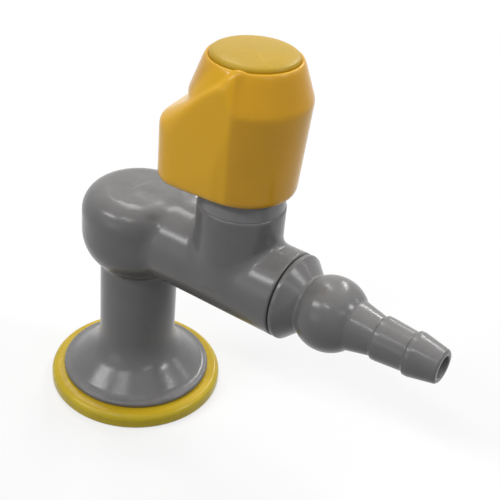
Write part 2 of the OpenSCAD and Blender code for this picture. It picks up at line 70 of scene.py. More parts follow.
# Casting: the flare's edge is (radius, height), and its facing is (outward, upward)
FOOT_LIP = (24.6, 5.2, 7.0, 0.7)
FLARE_EDGE = (22.3, 7.3)
FLARE_FACING = (0.68, 0.733)
FLARE_REACH = 23.6
FLARE_LOW = 5.6
FOOT_BLEND = 1.2
SPIGOT = (14.5, 0, 7, 0.3)
COLUMN = (12.5, 5.2, ARM_Z, 0)
HEAD = (18.4, 45.47, 74.75)
HEAD_EDGES = (14.6, 8)
ARM = (13.15, 0, ARM_END, 0.45)
BOSS = (13.1, ARM_Z, 85.2, 0.8)

# Bores of the casting: the inlet thread ends in a cone of 45 degrees
INLET_THREAD = (7.475, -9, 14, 0)
CONE_SLANT = 0.707
CONE_LOW = 13.9
COLUMN_WAY = (4.5, 0, ARM_Z, 0)
ARM_WAY = (4.5, 0, 28, 0)
VALVE_CHAMBER = (10.2, 27.8, 70, 0)
STEM_BORE = (4.11, ARM_Z, 76, 0)
BOSS_CAVITY = (10.2, 75, 99, 0)

# Nozzle, along the arm from its end: plug and shoulder, ball form as an arc, neck with two barbs and its mouth
NOZZLE_SHOULDER = (
    (3.2, -4.0, 0), (4.5, -6.2, 0), (10.1, -6.2, 0.3), (10.1, 0.4, 0), (12.75, 0.4, 0.3), (13.15, 0.8, 0.3),
    (13.15, 1.8, 0.8), (8.6, 6.6, 1.6))
NOZZLE_BALL = {"centre": (0, 13.6), "radius": 11.25, "start": -31, "end": 41, "count": 28}
NOZZLE_TAIL = (
    (7.6, 21.9, 2.4), (5.95, 29.45, 0.5), (6.6, 30.1, 0.35), (6.6, 31.4, 0.35), (5.95, 39.55, 0.5),
    (6.6, 40.2, 0.35), (6.6, 41.5, 0.4), (5.1, 49.1, 0.5), (4.55, 49.6, 0.4), (3.45, 49.6, 0.25), (3.2, 49.2, 0))

# Knob, from its own axis: flat flank of the beak, ridge as balls (x, y, z, radius), and lip round the cap
FLANK_WAY = math.radians(271.0)
FLANK_REACH = 16.35
RIDGE = (
    (-13.94, -12.75, 107.6, 3.6), (0.4, -14.9, 124.0, 1.5), (2.4, -13.9, 127.2, 1.4), (4.3, -12.3, 129.2, 1.3),
    (4.7, -15.2, 119.0, 1.2), (-12.0, -11.0, 98.0, 2.0), (3.0, -13.5, 110.0, 1.0), (1.0, -11.0, 124.0, 1.0))
LIP = {"radius": 13.45, "height": 129.9, "slope": 0.35, "bore": 12.45, "low": 128.5, "high": 130.65}

# Painted light on the knob: its beak is painted a brighter yellow than the round core, from where it leaves the core,
# below the crease over it and on the near side's ridge
BEAK_WAY = math.radians(208)
BEAK_START = 2.4
CREASE_Z = 118.6
RIDGE_Y = -14.2
SOFT_STEP = 1.8

# Cap: snap ring below, then the rim and the dome
CAP_OUTLINE = (
    (0, 128.85, 0), (4.45, 128.85, 0.2), (4.45, 126.65, 0.2), (5.85, 126.65, 0.2), (5.85, 128.85, 0.2),
    (12.4, 128.85, 0.2), (12.4, 130.1, 0.3), (12.05, 130.6, 0.4), (11.4, 130.93, 0.6), (10.3, 131.2, 1.0),
    (8.0, 131.5, 1.5), (5.3, 131.7, 1.5), (2.6, 131.82, 1.2), (0, 131.85, 0))


# How the meshes are made, in millimetres where nothing else is said

CASTING_MARGIN = 2  # cells left round the casting
CASTING_SHIFT = 0.13  # keeps the grid off the casting's flat ends
KNOB_MARGIN = 5  # cells left round the knob, more because it is softened
KNOB_FIELD_REACH = 3.5  # distances to the knob are measured this far
PROBE = 0.2  # share of a cell over which a slope is read
LEAST_SLOPE = 0.2  # squared slope that is taken at least
LONGEST_MOVE = 0.5  # share of a cell that a point moves in one round
GRID_END = 1.001  # steps that reading a grid stays short of its size
BLUR_REACH = 3  # widths that the softening reads on each side
RAY_NUDGE = (1.7e-4, 1.19e-4)  # keeps the counting rays off the mesh's edges
RAY_START = 1.0  # depth below the grid where the counting rays start
RAY_STEP = 1e-3  # where a counting ray goes on after each crossing
CORNER_SHARE = 0.48  # share of an outline's side that one rounding takes at most
AXIS_GAP = 0.001  # points of a turned piece this near to its axis are one point


# Sizes and colours that a user would change


class TapSizes(bpy.types.PropertyGroup):
    """Fineness of the meshes and roundings of the casting and the knob"""

    cell: bpy.props.FloatProperty(
        name="Cell", description="Grid cell of the soft-edged forms", default=0.00055, min=0.0003, max=0.002,
        unit="LENGTH", precision=5)
    arm_fillet: bpy.props.FloatProperty(
        name="Arm fillet", description="Blend between head and arm", default=0.0018, min=0, unit="LENGTH")
    boss_fillet: bpy.props.FloatProperty(
        name="Boss fillet", description="Blend between boss and arm", default=0.0022, min=0, unit="LENGTH")
    neck_fillet: bpy.props.FloatProperty(
        name="Neck fillet", description="Blend between column and head", default=0.0012, min=0, unit="LENGTH")
    flare_fillet: bpy.props.FloatProperty(
        name="Flare fillet", description="Blend between column and foot", default=0.004, min=0, unit="LENGTH")
    knob_softness: bpy.props.FloatProperty(
        name="Knob softness", description="Softening of the moulded knob's edges", default=0.0006, min=0,
        unit="LENGTH")
    lathe_steps: bpy.props.IntProperty(
        name="Lathe steps", description="Segments of the turned pieces", default=160, min=24)


class TapColours(bpy.types.PropertyGroup):
    """Colours of the finishes and the floor"""

    coat: bpy.props.FloatVectorProperty(
        name="Coat", description="Grey powder coat", subtype="COLOR", size=3, default=(0.163, 0.160, 0.161))
    collar: bpy.props.FloatVectorProperty(
        name="Collar", description="Lighter coat of the bonnet", subtype="COLOR", size=3, default=(0.235, 0.238, 0.247))
    knob: bpy.props.FloatVectorProperty(
        name="Knob", description="Yellow of the knob", subtype="COLOR", size=3, default=(0.80, 0.41, 0.018))
    # Painted light: brighter yellow painted on the beak's flank, which is better lit than the round core
    beak: bpy.props.FloatVectorProperty(
        name="Beak", description="Brighter yellow of the thin walls", subtype="COLOR", size=3,
        default=(0.92, 0.50, 0.018))
    cap: bpy.props.FloatVectorProperty(
        name="Cap", description="Yellow of the index cap", subtype="COLOR", size=3, default=(0.55, 0.345, 0.018))
    ring: bpy.props.FloatVectorProperty(
        name="Ring", description="Yellow of the colour ring", subtype="COLOR", size=3, default=(0.63, 0.48, 0.02))
    rubber: bpy.props.FloatVectorProperty(
        name="Rubber", description="Black rubber", subtype="COLOR", size=3, default=(0.014, 0.014, 0.015))
    ptfe: bpy.props.FloatVectorProperty(
        name="PTFE", description="White seats and washers", subtype="COLOR", size=3, default=(0.78, 0.78, 0.74))
    brass: bpy.props.FloatVectorProperty(
        name="Brass", description="Machined brass", subtype="COLOR", size=3, default=(0.62, 0.42, 0.17))
    steel: bpy.props.FloatVectorProperty(
        name="Steel", description="Plated steel", subtype="COLOR", size=3, default=(0.58, 0.58, 0.6))
    floor: bpy.props.FloatVectorProperty(
        name="Floor", description="Pale floor", subtype="COLOR", size=3, default=(0.2, 0.2, 0.2))


class TapStage(bpy.types.PropertyGroup):
    """Place of the camera and strength of the even light"""

    azimuth: bpy.props.FloatProperty(
        name="Azimuth", description="Direction of the camera", default=math.radians(32.94), unit="ROTATION")
    elevation: bpy.props.FloatProperty(
        name="Elevation", description="Height angle of the camera", default=math.radians(32.55), unit="ROTATION")
    roll: bpy.props.FloatProperty(
        name="Roll", description="Tilt of the picture", default=math.radians(5.66), unit="ROTATION")
    position: bpy.props.FloatVectorProperty(
        name="Position", description="Place of the camera", size=3, subtype="XYZ", unit="LENGTH",
        default=(0.1784, -0.2099, 0.2298))
    lens: bpy.props.FloatProperty(name="Lens", description="Focal length in millimetres", default=72.5, min=1)
    world_level: bpy.props.FloatProperty(
        name="World level", description="Strength of the even light", default=0.06, min=0)


# Fields: signed distances in millimetres, negative inside


def blend_union(a, b, width):
    """Union of two fields with a fillet about as wide as width."""
    if width <= 0:
        return np.minimum(a, b)
    h = np.maximum(width - np.abs(a - b), 0) / width
    return np.minimum(a, b) - h * h * width * 0.25


def rod_field(radial, along, radius, low, high, edge):
    """Rod between two heights, with rounded edges."""
    mid, half = (low + high) / 2, (high - low) / 2
    dr = radial - (radius - edge)
    dz = np.abs(along - mid) - (half - edge)
    outside = np.hypot(np.maximum(dr, 0), np.maximum(dz, 0))
    return outside + np.minimum(np.maximum(dr, dz), 0) - edge


def drum_field(radial, along, radius, low, high, edge_low, edge_high):
    """Rod whose lower and upper edges have their own roundings."""
    edge = np.where(along > (low + high) / 2, edge_high, edge_low)
    return rod_field(radial, along, radius, low, high, edge)


def casting_field(p, sizes):
    """The one-piece casting: foot, column, head, arm and boss, with its bores."""
    x, y, z = p[..., 0], p[..., 1], p[..., 2]
    about_column = np.hypot(x, y)
    about_arm = np.hypot(y, z - ARM_Z)
    about_boss = np.hypot(x - KNOB_X, y)
    flare = (about_column - FLARE_EDGE[0]) * FLARE_FACING[0] + (z - FLARE_EDGE[1]) * FLARE_FACING[1]
    flare = np.maximum(np.maximum(flare, about_column - FLARE_REACH), FLARE_LOW - z)
    foot = blend_union(rod_field(about_column, z, *FOOT_LIP), flare, FOOT_BLEND)
    solid = blend_union(foot, rod_field(about_column, z, *COLUMN), sizes.flare_fillet / MM)
    solid = np.minimum(solid, rod_field(about_column, z, *SPIGOT))
    solid = blend_union(solid, drum_field(about_column, z, *HEAD, *HEAD_EDGES), sizes.neck_fillet / MM)
    solid = blend_union(solid, rod_field(about_arm, x, *ARM), sizes.arm_fillet / MM)
    solid = blend_union(solid, rod_field(about_boss, z, *BOSS), sizes.boss_fillet / MM)
    thread_radius, _, thread_top, _ = INLET_THREAD
    cone = np.maximum((about_column - thread_radius + z - thread_top) * CONE_SLANT, CONE_LOW - z)
    bores = (
        rod_field(about_column, z, *INLET_THREAD), cone, rod_field(about_column, z, *COLUMN_WAY),
        rod_field(about_arm, x, *ARM_WAY), rod_field(about_arm, x, *VALVE_CHAMBER),
        rod_field(about_boss, z, *STEM_BORE), rod_field(about_boss, z, *BOSS_CAVITY))
    for bore in bores:
        solid = np.maximum(solid, -bore)
    return solid


# From a field to a mesh


CORNERS = np.array(list(itertools.product((0, 1), repeat=3)))
EDGES = [(a, b) for a in range(8) for b in range(a + 1, 8) if np.abs(CORNERS[a] - CORNERS[b]).sum() == 1]


def box_round(node, cell, margin, shift=0.0):
    """Box of a CAD node in millimetres, with a margin of some cells and a shift of its low corner."""
    low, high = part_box(node)
    return [c / MM - margin * cell - shift for c in low], [c / MM + margin * cell for c in high]


def grid_of(low, high, cell):
    """Points of a regular grid over a box."""
    axes = [np.arange(a, b + cell, cell, dtype=np.float32) for a, b in zip(low, high)]
    return axes, np.stack(np.meshgrid(*axes, indexing="ij"), axis=-1)


def surface_of(values, low, cell):
    """Vertices and quads of the zero level of a sampled field, one vertex in each cell that it crosses."""
    inside = values < 0
    n = np.array(values.shape)
    count = np.zeros(tuple(n - 1), np.int8)
    for i, j, k in CORNERS:
        count += inside[i:n[0] - 1 + i, j:n[1] - 1 + j, k:n[2] - 1 + k]
    cells = np.argwhere((count > 0) & (count < 8))
    total = np.zeros((len(cells), 3))
    hits = np.zeros(len(cells))
    for a, b in EDGES:
        ia, ib = cells + CORNERS[a], cells + CORNERS[b]
        fa, fb = values[tuple(ia.T)], values[tuple(ib.T)]
        cut = (fa < 0) != (fb < 0)
        t = np.where(cut, fa / np.where(cut, fa - fb, 1), 0)
        total[cut] += (ia + t[:, None] * (CORNERS[b] - CORNERS[a]))[cut]
        hits += cut
    points = total / hits[:, None] * cell + np.array(low)
    number = np.full(tuple(n - 1), -1, np.int64)
    number[tuple(cells.T)] = np.arange(len(cells))
    quads = []
    step = np.eye(3, dtype=int)
    for axis in range(3):
        u, v = (axis + 1) % 3, (axis + 2) % 3
        here = np.argwhere(np.diff(inside.astype(np.int8), axis=axis) != 0)
        here = here[(here[:, u] > 0) & (here[:, v] > 0) & (here[:, u] < n[u] - 1) & (here[:, v] < n[v] - 1)]
        ring = [number[tuple((here - du * step[u] - dv * step[v]).T)] for du, dv in ((1, 1), (0, 1), (0, 0), (1, 0))]
        quad = np.stack(ring, axis=1)
        leaving = inside[tuple(here.T)]
        quad[~leaving] = quad[~leaving][:, ::-1]
        quads.append(quad[(quad >= 0).all(axis=1)])
    return points, np.concatenate(quads)


def settle(points, field, cell, rounds=3):
    """Moves points onto the field's zero level along its slope."""
    h = cell * PROBE
    for _ in range(rounds):
        f = field(points)
        slope = np.stack([field(points + h * e) - field(points - h * e) for e in np.eye(3)], axis=1) / (2 * h)
        size = np.maximum((slope ** 2).sum(axis=1), LEAST_SLOPE)
        move = -(f / size)[:, None] * slope
        points = points + np.clip(move, -cell * LONGEST_MOVE, cell * LONGEST_MOVE)
    return points


def sampled(values, low, cell):
    """A field that reads a sampled grid, also between its points."""
    shape = np.array(values.shape)

    def read(p):
        q = np.clip((p - np.array(low)) / cell, 0, shape - GRID_END)
        i = np.floor(q).astype(int)
        t = q - i
        out = 0
        for c in CORNERS:
            weight = np.prod(np.where(c == 1, t, 1 - t), axis=-1)
            out = out + weight * values[tuple(np.moveaxis(i + c, -1, 0))]
        return out

    return read


def soften(values, cell, width):
    """Evens a sampled field out over a distance, which rounds edges and hollow corners."""
    reach = max(1, int(round(BLUR_REACH * width / cell)))
    steps = np.arange(-reach, reach + 1)
    kernel = np.exp(-0.5 * (steps * cell / width) ** 2)
    kernel /= kernel.sum()
    for axis in range(3):
        padded = np.pad(values, [(reach, reach) if a == axis else (0, 0) for a in range(3)], mode="edge")
        out = np.zeros_like(values)
        for s, weight in enumerate(kernel):
            out += weight * np.take(padded, range(s, s + values.shape[axis]), axis=axis)
        values = out
    return values


def field_of_solid(obj, low, high, cell, reach):
    """Signed distance to a closed CAD mesh, in millimetres, sampled on a grid and cut off at reach."""
    vertices = [v.co / MM for v in obj.data.vertices]
    tree = BVHTree.FromPolygons(vertices, [p.vertices[:] for p in obj.data.polygons])
    axes, grid = grid_of(low, high, cell)
    shape = grid.shape[:3]
    distance = np.full(shape, reach, np.float32)
    for index, point in zip(np.ndindex(shape), grid.reshape(-1, 3)):
        near = tree.find_nearest(Vector(point), reach)
        if near[3] is not None:
            distance[index] = near[3]
    inside = np.zeros(shape, bool)
    for (i, x), (j, y) in itertools.product(enumerate(axes[0]), enumerate(axes[1])):
        crossings = heights_crossed(tree, x + RAY_NUDGE[0], y + RAY_NUDGE[1], low[2] - RAY_START)
        for a, b in zip(crossings[0::2], crossings[1::2]):
            inside[i, j, (axes[2] > a) & (axes[2] < b)] = True
    return np.where(inside, -distance, distance)


def heights_crossed(tree, x, y, z):
    """Heights at which a ray that goes straight up crosses a mesh."""
    up = Vector((0, 0, 1))
    crossings = []
    while True:
        hit = tree.ray_cast(Vector((x, y, z)), up)
        if hit[0] is None:
            return crossings
        crossings.append(hit[0].z)
        z = hit[0].z + RAY_STEP


def hull_planes(balls):
    """Outward planes round some balls, each given as (x, y, z, radius) and read at 26 points of its surface."""
    ways = [Vector(way).normalized() for way in itertools.product((-1, 0, 1), repeat=3) if any(way)]
    hull = bmesh.new()
    for x, y, z, radius in balls:
        for way in ways:
            hull.verts.new(Vector((x, y, z)) + radius * way)
    bmesh.ops.convex_hull(hull, input=hull.verts)
    middle = sum((v.co for v in hull.verts), Vector()) / len(hull.verts)
    planes = []
    for face in hull.faces:
        normal = face.normal.copy()
        if normal.dot(face.verts[0].co - middle) < 0:
            normal.negate()
        planes.append((*normal, normal.dot(face.verts[0].co)))
    hull.free()
    return planes


def hull_field(p, balls):
    """Field of the hull of some balls."""
    out = np.full(p.shape[:-1], -np.inf, np.float32)
    for a, b, c, reach in hull_planes(balls):
        out = np.maximum(out, p[..., 0] * a + p[..., 1] * b + p[..., 2] * c - reach)
    return out


def mesh_piece(name, points, faces, material):
    """New object from points in millimetres, shaded smooth."""
    mesh = bpy.data.meshes.new(name)
    mesh.vertices.add(len(points))
    mesh.vertices.foreach_set("co", (np.asarray(points, np.float64) * MM).ravel())
    faces = np.asarray(faces)
    mesh.loops.add(faces.size)
    mesh.loops.foreach_set("vertex_index", faces.ravel())
    mesh.polygons.add(len(faces))
    mesh.polygons.foreach_set("loop_start", np.arange(0, faces.size, faces.shape[1]))
    mesh.polygons.foreach_set("loop_total", np.full(len(faces), faces.shape[1]))
    mesh.update()
    mesh.validate()
    mesh.polygons.foreach_set("use_smooth", np.ones(len(mesh.polygons), bool))
    obj = bpy.data.objects.new(name, mesh)
    bpy.context.scene.collection.objects.link(obj)
    obj.data.materials.append(material)
    return obj


# Turned pieces


def rounded(corners, arc_steps=6):
    """Outline of a turned piece from its corners; the first and the last stay sharp."""
    out = []
    for i, (r, z, edge) in enumerate(corners):
        here = np.array([r, z])
        if edge <= 0 or i in (0, len(corners) - 1):
            out.append(here)
            continue
        back = np.array(corners[i - 1][:2]) - here
        on = np.array(corners[i + 1][:2]) - here
        back_length, on_length = np.hypot(*back), np.hypot(*on)
        back, on = back / back_length, on / on_length
        half = math.acos(float(np.clip(back @ on, -1, 1))) / 2
        cut = min(edge / math.tan(half), back_length * CORNER_SHARE, on_length * CORNER_SHARE)
        a, b = here + back * cut, here + on * cut
        for s in np.linspace(0, 1, arc_steps):
            out.append((1 - s) ** 2 * a + 2 * s * (1 - s) * here + s ** 2 * b)
    return np.array(out)


def arc(centre, radius, start, end, count):
    """Corners along an arc in an outline, angles in degrees from the outward radius."""
    angles = np.radians(np.linspace(start, end, count))
    return [(centre[0] + radius * math.cos(a), centre[1] + radius * math.sin(a), 0) for a in angles]


def turned(name, outline, centre, axis, steps, material):
    """Closed turned piece from an outline of (radius, place along the axis) that runs round the section."""
    radius, along = outline.T
    n = len(outline)
    points = []
    for a in np.linspace(0, 2 * math.pi, steps, endpoint=False):
        across, aside = radius * math.cos(a), radius * math.sin(a)
        ring = (across, aside, along) if axis == "Z" else (along, across, aside)
        points.append(np.stack(ring, axis=1) + np.array(centre))
    faces = []
    for s in range(steps):
        t = (s + 1) % steps
        for k in range(n):
            m = (k + 1) % n
            faces.append((s * n + k, t * n + k, t * n + m, s * n + m))
    piece = mesh_piece(name, np.concatenate(points), faces, material)
    if radius.min() < AXIS_GAP:
        weld(piece)
    return piece


def weld(piece):
    """Joins the points of a turned piece that fall together on its axis."""
    mesh = bmesh.new()
    mesh.from_mesh(piece.data)
    bmesh.ops.remove_doubles(mesh, verts=mesh.verts, dist=AXIS_GAP * MM)
    mesh.to_mesh(piece.data)
    mesh.free()


# Shader parts


def add_node(tree, kind, **values):
    """New shader node; in_ stands before the name or number of an input, and the rest are settings."""
    node = tree.nodes.new(kind)
    for key, value in values.items():
        if key.startswith("in_"):
            name = key[3:].replace("_", " ")
            slot = int(name) if name.isdigit() else name
            node.inputs[slot].default_value = value
        else:
            setattr(node, key, value)
    return node


def feed(tree, value, target):
    """Links an input to another node's output, or gives it a number or colour."""
    if isinstance(value, bpy.types.NodeSocket):
        tree.links.new(value, target)
    else:
        target.default_value = value


def calculate(tree, operation, *values, clamp=False):
    """Output of a math node whose inputs are numbers or other nodes' outputs."""
    node = add_node(tree, "ShaderNodeMath", operation=operation, use_clamp=clamp)
    for index, value in enumerate(values):
        feed(tree, value, node.inputs[index])
    return node.outputs[0]


def noise(tree, scale, detail, roughness=0.5):
    """Noise that stays on the object, with its scale from another node's output."""
    place = add_node(tree, "ShaderNodeTexCoord")
    texture = add_node(tree, "ShaderNodeTexNoise", in_Detail=detail, in_Roughness=roughness)
    feed(tree, place.outputs["Object"], texture.inputs["Vector"])
    feed(tree, scale, texture.inputs["Scale"])
    return texture.outputs["Fac"]


def ramp(tree, value, start, end):
    """0 to 1 between two values of a socket, with soft ends."""
    node = add_node(tree, "ShaderNodeMapRange", interpolation_type="SMOOTHSTEP", in_1=start, in_2=end)
    feed(tree, value, node.inputs[0])
    return node.outputs[0]


def new_group(name, inputs, output):
    """Empty shader group with named number inputs and one output."""
    group = bpy.data.node_groups.new(name, "ShaderNodeTree")
    for label, value in inputs.items():
        socket = group.interface.new_socket(name=label, in_out="INPUT", socket_type="NodeSocketFloat")
        socket.default_value = value
    group.interface.new_socket(name=output, in_out="OUTPUT", socket_type="NodeSocketFloat")
    start, end = group.nodes.new("NodeGroupInput"), group.nodes.new("NodeGroupOutput")
    return group, start.outputs, end.inputs[output]


def mottle_group():
    """Slow, soft unevenness of a coat or a moulding."""
    group, given, out = new_group("Slow mottle", {"Scale": 60.0, "Contrast": 1.0}, "Mask")
    centred = calculate(group, "SUBTRACT", noise(group, given["Scale"], 4.0, 0.55), 0.5)
    feed(group, calculate(group, "MULTIPLY_ADD", centred, given["Contrast"], 0.5, clamp=True), out)
    return group


def skin_group():
    """Fine skin of a coat or a moulding: low waves with a fine grain on them."""
    group, given, out = new_group(
        "Fine skin", {"Wave scale": 500.0, "Grain scale": 3000.0, "Grain share": 0.3}, "Height")
    wave = noise(group, given["Wave scale"], 2.0, 0.4)
    grain = noise(group, given["Grain scale"], 3.0, 0.6)
    feed(group, calculate(group, "MULTIPLY_ADD", grain, given["Grain share"], wave), out)
    return group


def wear_group():
    """Mask that is bright along outer edges, where a finish wears away."""
    group, given, out = new_group("Edge wear", {"Start": 0.51, "Width": 0.05, "Break up": 900.0}, "Mask")
    shape = add_node(group, "ShaderNodeNewGeometry")
    sharper = calculate(group, "SUBTRACT", shape.outputs["Pointiness"], given["Start"])
    share = calculate(group, "DIVIDE", sharper, given["Width"], clamp=True)
    feed(group, calculate(group, "MULTIPLY", share, noise(group, given["Break up"], 3.0), clamp=True), out)
    return group


def dust_and_lit_top_group():
    """Mask on what faces up, broken by noise: a dusting, orange blotches on the ring, and painted light on the knob's
    tops.
    """
    group, given, out = new_group("Dust and painted light on tops", {"Scale": 300.0, "Amount": 0.3}, "Mask")
    shape = add_node(group, "ShaderNodeNewGeometry")
    facing = add_node(group, "ShaderNodeSeparateXYZ")
    feed(group, shape.outputs["Normal"], facing.inputs[0])
    up = calculate(group, "POWER", facing.outputs["Z"], 3.0, clamp=True)
    patch = calculate(group, "MULTIPLY", up, noise(group, given["Scale"], 6.0, 0.7))
    feed(group, calculate(group, "MULTIPLY", patch, given["Amount"], clamp=True), out)
    return group


def thin_wall_group():
    """Mask of painted light: the knob's beak flank, painted brighter than the round core because it is better lit."""
    group, given, out = new_group("Painted light on flank", {"Amount": 1.0}, "Mask")
    place = add_node(group, "ShaderNodeTexCoord")
    parts = add_node(group, "ShaderNodeSeparateXYZ")
    feed(group, place.outputs["Object"], parts.inputs[0])
    x, y, z = parts.outputs
    step = SOFT_STEP * MM
    along = calculate(group, "MULTIPLY", x, math.cos(BEAK_WAY))
    along = calculate(group, "MULTIPLY_ADD", y, math.sin(BEAK_WAY), along)
    root = (KNOB_X * math.cos(BEAK_WAY) + BEAK_START) * MM
    beak = ramp(group, along, root, root + step)
    below = ramp(group, z, CREASE_Z * MM + step, CREASE_Z * MM)
    near = ramp(group, y, RIDGE_Y * MM + step, RIDGE_Y * MM)
    mask = calculate(group, "MULTIPLY", calculate(group, "MAXIMUM", below, near), beak)
    feed(group, calculate(group, "MULTIPLY", mask, given["Amount"]), out)
    return group


EFFECTS = {
    "mottle": mottle_group, "skin": skin_group, "wear": wear_group, "dust_and_lit_top": dust_and_lit_top_group, "thin_wall": thin_wall_group}
made_effects = {}


def effect(tree, kind, **values):
    """Output of a shared effect, placed in a material with its own values."""
    if kind not in made_effects:
        made_effects[kind] = EFFECTS[kind]()
    node = add_node(tree, "ShaderNodeGroup", node_tree=made_effects[kind])
    for key, value in values.items():
        node.inputs[key.replace("_", " ")].default_value = value
    return node.outputs[0]


def shade(colour, factor):
    """A colour made lighter or darker by a factor."""
    return tuple(min(1.0, c * factor) for c in colour[:3]) + (1.0,)


def mix_colour(tree, mask, a, b):
    """Colour that goes from a to b with a mask; a and b are colours or sockets."""
    node = add_node(tree, "ShaderNodeMix", data_type="RGBA")
    feed(tree, mask, node.inputs["Factor"])
    for index, value in ((6, a), (7, b)):
        feed(tree, value, node.inputs[index])
    return node.outputs[2]


def mix_number(tree, mask, a, b):
    """Number that goes from a to b with a mask."""
    node = add_node(tree, "ShaderNodeMapRange", in_3=a, in_4=b)
    feed(tree, mask, node.inputs[0])
    return node.outputs[0]


# Finishes

MOTTLE_CONTRAST = 1.6
WEAR_START = 0.53
WEAR_WIDTH = 0.12
COAT_SKIN = {"Wave_scale": 420.0, "Grain_scale": 2600.0, "Grain_share": 0.25}
PLASTIC_SKIN = {"Wave_scale": 260.0, "Grain_scale": 2400.0, "Grain_share": 0.35}
RING_SKIN = {"Wave_scale": 300.0, "Grain_scale": 2400.0, "Grain_share": 0.35}
RUBBER_SKIN = {"Wave_scale": 600.0, "Grain_scale": 4000.0, "Grain_share": 0.6}
PTFE_SKIN = {"Wave_scale": 500.0, "Grain_scale": 3000.0, "Grain_share": 0.4}
METAL_SKIN = {"Wave_scale": 900.0, "Grain_scale": 5000.0, "Grain_share": 0.5}
POLISHED_SKIN = {"Wave_scale": 700.0, "Grain_scale": 5000.0, "Grain_share": 0.3}


def finish(name, colour, light, dark, rough, mottle, skin, bump, metallic=0.0, specular=0.5, wear=None, dust_and_lit_top=None,
           thin=None):
    """
    Principled material with a mottled colour and roughness, a fine skin, worn edges, a dusting on tops, and painted
    light on the knob.

    light and dark are factors on the colour, rough holds both ends of the roughness, and mottle is the mottle's
    scale. bump is (strength, distance in metres) and wear (factor on the colour, break-up scale). The last two are
    (scale, amount, colour) of a dusting on tops, which on the knob is painted light, and the brighter colour painted
    on the knob's better-lit flank.
    """
    made = bpy.data.materials.get(name)
    if made is not None:
        return made
    made = bpy.data.materials.new(name)
    made.use_nodes = True
    tree = made.node_tree
    shader = tree.nodes["Principled BSDF"]
    shader.inputs["Metallic"].default_value = metallic
    shader.inputs["Specular IOR Level"].default_value = specular
    mask = effect(tree, "mottle", Scale=mottle, Contrast=MOTTLE_CONTRAST)
    tone = mix_colour(tree, mask, shade(colour, dark), shade(colour, light))
    # Painted light: a brighter tone painted on the knob's beak flank, where it is better lit
    if thin is not None:
        tone = mix_colour(tree, effect(tree, "thin_wall", Amount=1.0), tone, shade(thin, 1))
    if wear is not None:
        factor, break_up = wear
        worn = effect(tree, "wear", Start=WEAR_START, Width=WEAR_WIDTH, Break_up=break_up)
        tone = mix_colour(tree, worn, tone, shade(colour, factor))
    # A mask on what faces up: a dusting on most finishes, and on the knob painted light, a paler tone on its better-lit
    # tops
    if dust_and_lit_top is not None:
        scale, amount, dust_and_lit_top_colour = dust_and_lit_top
        tone = mix_colour(tree, effect(tree, "dust_and_lit_top", Scale=scale, Amount=amount), tone, shade(dust_and_lit_top_colour, 1))
    feed(tree, tone, shader.inputs["Base Color"])
    feed(tree, mix_number(tree, mask, *rough), shader.inputs["Roughness"])
    relief = add_node(tree, "ShaderNodeBump", in_Strength=bump[0], in_Distance=bump[1])
    feed(tree, effect(tree, "skin", **skin), relief.inputs["Height"])
    feed(tree, relief.outputs["Normal"], shader.inputs["Normal"])
    return made


def grey_coat():
    """Powder coat of the casting and the nozzle."""
    return finish(
        "grey_powder_coat", bpy.context.scene.tap_colours.coat, light=1.07, dark=0.93, rough=(0.20, 0.27),
        mottle=90.0, skin=COAT_SKIN, bump=(0.6, 0.00008), specular=0.32, wear=(1.35, 700.0),
        dust_and_lit_top=(380.0, 0.25, (0.5, 0.49, 0.46)))


def collar_coat():
    """Lighter powder coat of the bonnet."""
    return finish(
        "light_powder_coat", bpy.context.scene.tap_colours.collar, light=1.07, dark=0.93, rough=(0.22, 0.30),
        mottle=90.0, skin=COAT_SKIN, bump=(0.35, 0.00006), specular=0.32, wear=(1.3, 700.0))


def knob_plastic():
    """Moulded plastic of the knob, with painted light: a brighter beak flank and paler up-facing tops."""
    colours = bpy.context.scene.tap_colours
    return finish(
        "yellow_knob_plastic", colours.knob, light=1.06, dark=0.92, rough=(0.18, 0.26), mottle=70.0,
        skin=PLASTIC_SKIN, bump=(0.3, 0.00005), specular=0.25, wear=(1.1, 500.0),
        # Painted light on the knob: paler lemon up-facing tops where they are better lit, and the brighter painted beak
        # flank
        dust_and_lit_top=(260.0, 0.5, (0.66, 0.50, 0.05)), thin=colours.beak)


def cap_plastic():
    """Duller plastic of the index cap."""
    return finish(
        "yellow_cap_plastic", bpy.context.scene.tap_colours.cap, light=1.08, dark=0.9, rough=(0.30, 0.40),
        mottle=60.0, skin=PLASTIC_SKIN, bump=(0.3, 0.00005), specular=0.12, wear=(1.15, 500.0),
        dust_and_lit_top=(200.0, 0.2, (0.7, 0.62, 0.35)))


def ring_plastic():
    """Plastic of the colour ring, with orange blotches."""
    return finish(
        "yellow_ring_plastic", bpy.context.scene.tap_colours.ring, light=1.1, dark=0.86, rough=(0.22, 0.34),
        mottle=120.0, skin=RING_SKIN, bump=(0.3, 0.00005), specular=0.28, wear=(1.2, 500.0),
        dust_and_lit_top=(110.0, 0.9, (0.62, 0.36, 0.015)))


def black_rubber():
    """Rubber of the gasket and the O-rings."""
    return finish(
        "black_rubber", bpy.context.scene.tap_colours.rubber, light=1.5, dark=0.8, rough=(0.6, 0.75), mottle=200.0,
        skin=RUBBER_SKIN, bump=(0.4, 0.00004), specular=0.35)


def white_ptfe():
    """PTFE of the seats and washers."""
    return finish(
        "white_ptfe", bpy.context.scene.tap_colours.ptfe, light=1.03, dark=0.95, rough=(0.4, 0.5), mottle=150.0,
        skin=PTFE_SKIN, bump=(0.2, 0.00003))


def turned_brass():
    """Brass of the stem, the seat retainer and the knob's insert."""
    return finish(
        "turned_brass", bpy.context.scene.tap_colours.brass, light=1.08, dark=0.85, rough=(0.22, 0.34), mottle=180.0,
        skin=METAL_SKIN, bump=(0.25, 0.00002), metallic=1.0)


